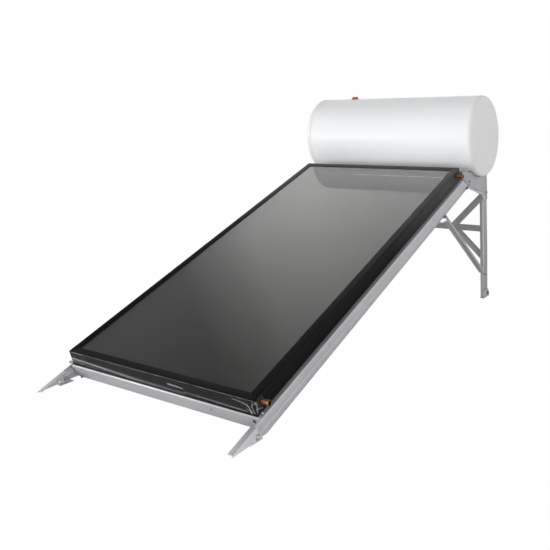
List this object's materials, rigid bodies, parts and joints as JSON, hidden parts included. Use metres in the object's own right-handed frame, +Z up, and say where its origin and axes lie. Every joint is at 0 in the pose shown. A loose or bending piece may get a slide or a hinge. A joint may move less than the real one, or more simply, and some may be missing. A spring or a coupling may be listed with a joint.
{
  "type": "solar water heater",
  "caption": "Thermosiphon solar water heater: a glazed flat-plate collector on an inclined steel stand under a horizontal insulated tank.",
  "frame": {"origin": "on the ground, at the middle of the heater's footprint", "axes": "+Z up, +X to the right along the tank as seen from the collector's low end, +Y from the collector's low end towards the tank"},
  "size_m": [1.1, 2.556, 1.2216],
  "materials": {
    "black_frame": "satin black powder coat on extruded aluminium",
    "solar_glass": "tempered low-iron solar glass",
    "black_rubber": "matt EPDM",
    "selective_coating": "dark blue-black selective coating on thin metal sheet",
    "copper": "slightly oxidised copper",
    "plain_aluminium": "mill finish",
    "mineral_wool": "matt fibrous board",
    "galvanised_steel": "satin galvanised sheet steel",
    "white_shell": "gloss white coil coating",
    "cap_plastic": "matt pale grey plastic",
    "enamelled_steel": "dark blue glass enamel",
    "foam": "rigid polyurethane foam",
    "plain_steel": "zinc-plated steel",
    "magnesium": "cast magnesium rod",
    "brass": "machined brass",
    "red_plastic": "moulded red plastic"
  },
  "bodies": {
    "heater": {"casing_left": "black_frame", "casing_right": "black_frame", "casing_front": "black_frame", "casing_back": "black_frame", "glass_cover": "solar_glass", "glass_gasket": "black_rubber", "absorber_plate": "selective_coating", "riser_tube_1": "copper", "riser_tube_2": "copper", "riser_tube_3": "copper", "riser_tube_4": "copper", "riser_tube_5": "copper", "riser_tube_6": "copper", "riser_tube_7": "copper", "riser_tube_8": "copper", "header_low": "copper", "header_high": "copper", "header_grommet_low": "black_rubber", "header_grommet_high": "black_rubber", "back_sheet": "plain_aluminium", "insulation_board": "mineral_wool", "rail_right": "galvanised_steel", "rail_left": "galvanised_steel", "front_cross_member": "galvanised_steel", "upper_cross_member": "galvanised_steel", "rear_leg_right": "galvanised_steel", "rear_leg_left": "galvanised_steel", "tank_bracket_right": "galvanised_steel", "tank_bracket_left": "galvanised_steel", "front_foot_right": "galvanised_steel", "front_foot_left": "galvanised_steel", "rear_foot_right": "galvanised_steel", "rear_foot_left": "galvanised_steel", "side_brace_right": "galvanised_steel", "side_brace_left": "galvanised_steel", "rear_tie_bar": "galvanised_steel", "knee_brace_upper_right": "galvanised_steel", "knee_brace_upper_left": "galvanised_steel", "knee_brace_lower_right": "galvanised_steel", "knee_brace_lower_left": "galvanised_steel", "seat_pad_right": "black_rubber", "seat_pad_left": "black_rubber", "tank_shell": "white_shell", "tank_end_cap_right": "cap_plastic", "tank_end_cap_left": "cap_plastic", "inner_vessel": "enamelled_steel", "tank_foam": "foam", "hand_hole_gasket": "black_rubber", "hand_hole_cover": "plain_steel", "anode_rod": "magnesium", "port_collector_return": "brass", "port_hot_out": "brass", "port_cold_in": "brass", "port_collector_flow": "brass", "relief_valve_body": "brass", "relief_valve_spring": "plain_steel"},
    "relief_stem": {"relief_valve_stem": "plain_steel"},
    "relief_knob": {"relief_valve_knob": "red_plastic"}
  },
  "joints": [
    {"name": "relief_stem_lift", "type": "slide", "parent": "heater", "child": "relief_stem", "axis": [0, 0, 1], "range_m": [0, 0.002], "stiffness_N_per_m": 300, "springref_m": -0.001, "deforming": ["relief_valve_spring"]},
    {"name": "relief_knob_turn", "type": "hinge", "parent": "relief_stem", "child": "relief_knob", "pos_m": [-0.318, 1.042, 1.215], "axis": [0, 0, 1], "range_deg": [0, 90]}
  ],
  "couplings": [
    {"joint": "relief_knob_turn", "follows": "relief_stem_lift", "rad_per_m": 785}
  ]
}
